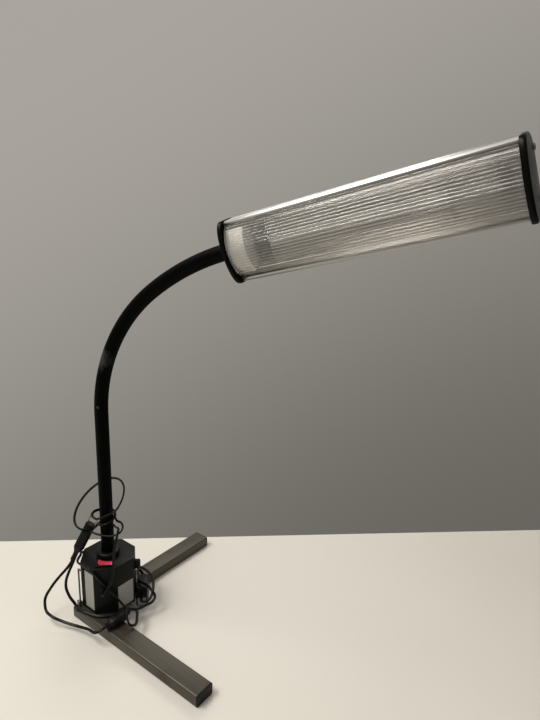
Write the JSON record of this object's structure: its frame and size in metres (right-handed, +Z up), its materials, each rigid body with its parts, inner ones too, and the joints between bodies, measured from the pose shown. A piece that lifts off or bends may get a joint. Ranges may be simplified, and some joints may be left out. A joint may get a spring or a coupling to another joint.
{
  "type": "portable work light",
  "caption": "Portable work light: a long ribbed-lens lamp head on a flexible gooseneck, on a magnetic base with a rocker switch, standing on a welded L of steel tube.",
  "frame": {"origin": "on the surface it stands on, where the centre lines of the two legs cross", "axes": "+X along the front leg to its end, +Y along the rear leg to its end, +Z up"},
  "size_m": [0.635, 0.3243, 0.7355],
  "materials": {
    "mill_steel": "rolled mill steel, dull, lightly stained",
    "plain_steel": "plain steel",
    "black_plastic": "moulded, satin",
    "housing_black": "moulded, fine matt grain",
    "neck_rubber": "smooth rubber sleeve, lightly scuffed",
    "cord_black": "extruded flexible cord jacket",
    "ferrite": "sintered, dull",
    "circuit_board": "lacquered board",
    "copper_tape": "wound coil under tape",
    "plate_white": "satin film",
    "rocker_red": "translucent, glossy",
    "aluminium": "satin extruded",
    "clear_lens": "clear ribbed moulding",
    "lamp_white": "white coated tube",
    "holder_white": "satin moulding",
    "fuse_glass": "clear tube with metal ends",
    "brass": "plain"
  },
  "bodies": {
    "stand_and_base": {"front_leg": "mill_steel", "rear_leg": "mill_steel", "inner_weld": "plain_steel", "outer_weld": "plain_steel", "front_leg_cap": "black_plastic", "corner_cap": "black_plastic", "rear_leg_cap": "black_plastic", "base_stop": "plain_steel", "housing_shell": "housing_black", "housing_floor": "black_plastic", "floor_screw_1": "plain_steel", "floor_screw_2": "plain_steel", "front_shoe": "plain_steel", "rear_shoe": "plain_steel", "ferrite_magnet": "ferrite", "magnet_yoke": "plain_steel", "ballast_board": "circuit_board", "ballast_choke": "copper_tape", "ballast_capacitor": "ferrite", "tall_plate": "plate_white", "square_plate": "plate_white", "rocker_case": "black_plastic", "fuse_holder": "black_plastic", "fuse_link": "fuse_glass", "strain_relief": "black_plastic", "neck_collar": "black_plastic", "collar_nut": "plain_steel", "neck_root": "neck_rubber", "supply_unit": "black_plastic", "coupler_plug": "black_plastic", "coupler_socket": "black_plastic", "mains_plug": "black_plastic", "plug_prong_1": "brass", "plug_prong_2": "brass", "lamp_lead": "cord_black", "supply_tail": "cord_black", "mains_lead": "cord_black"},
    "neck_link_1": {"neck_link_1": "neck_rubber"},
    "neck_link_2": {"neck_link_2": "neck_rubber"},
    "neck_link_3": {"neck_link_3": "neck_rubber"},
    "neck_link_4": {"neck_link_4": "neck_rubber"},
    "neck_link_5": {"neck_link_5": "neck_rubber"},
    "lamp_head": {"neck_tip": "neck_rubber", "tail_nut": "plain_steel", "near_cap": "black_plastic", "near_upper_screw": "plain_steel", "near_lower_screw": "plain_steel", "head_channel": "aluminium", "lens": "clear_lens", "far_cap": "black_plastic", "far_upper_screw": "plain_steel", "far_lower_screw": "plain_steel", "lamp_holder": "holder_white", "lamp_base": "black_plastic", "lamp_tubes": "lamp_white", "reflector": "aluminium", "lamp_clip": "plain_steel"},
    "rocker": {"rocker_button": "rocker_red"},
    "fuse_cap_body": {"fuse_cap": "black_plastic"}
  },
  "joints": [
    {"name": "neck_lift_1", "type": "hinge", "parent": "stand_and_base", "child": "neck_link_1", "pos_m": [0.009, 0.038, 0.2525], "axis": [0.314, -0.9494, 0], "range_deg": [-15, 12]},
    {"name": "neck_swing_2", "type": "hinge", "parent": "neck_link_1", "child": "neck_link_2", "pos_m": [0.009, 0.038, 0.34462], "axis": [0.9494, 0.314, 0], "range_deg": [-20, 20]},
    {"name": "neck_lift_3", "type": "hinge", "parent": "neck_link_2", "child": "neck_link_3", "pos_m": [0.02309, 0.04207, 0.43568], "axis": [0.2594, -0.9658, 0], "range_deg": [-15, 12]},
    {"name": "neck_swing_4", "type": "hinge", "parent": "neck_link_3", "child": "neck_link_4", "pos_m": [0.06848, 0.05263, 0.51452], "axis": [0.7361, 0.15, -0.66], "range_deg": [-20, 20]},
    {"name": "neck_lift_5", "type": "hinge", "parent": "neck_link_4", "child": "neck_link_5", "pos_m": [0.13901, 0.06465, 0.57191], "axis": [0.139, -0.9903, 0], "range_deg": [-15, 12]},
    {"name": "neck_lift_6", "type": "hinge", "parent": "neck_link_5", "child": "lamp_head", "pos_m": [0.22249, 0.07373, 0.60926], "axis": [0.078, -0.997, 0], "range_deg": [-15, 12]},
    {"name": "rocker_tilt", "type": "hinge", "parent": "stand_and_base", "child": "rocker", "pos_m": [0.02986, 0.01714, 0.10415], "axis": [0.7071, -0.7071, 0], "range_deg": [0, 18]},
    {"name": "fuse_cap_turn", "type": "hinge", "parent": "stand_and_base", "child": "fuse_cap_body", "pos_m": [0.04025, 0.06925, 0.08005], "axis": [0.7071, 0.7071, 0], "range_deg": [0, 60]}
  ]
}
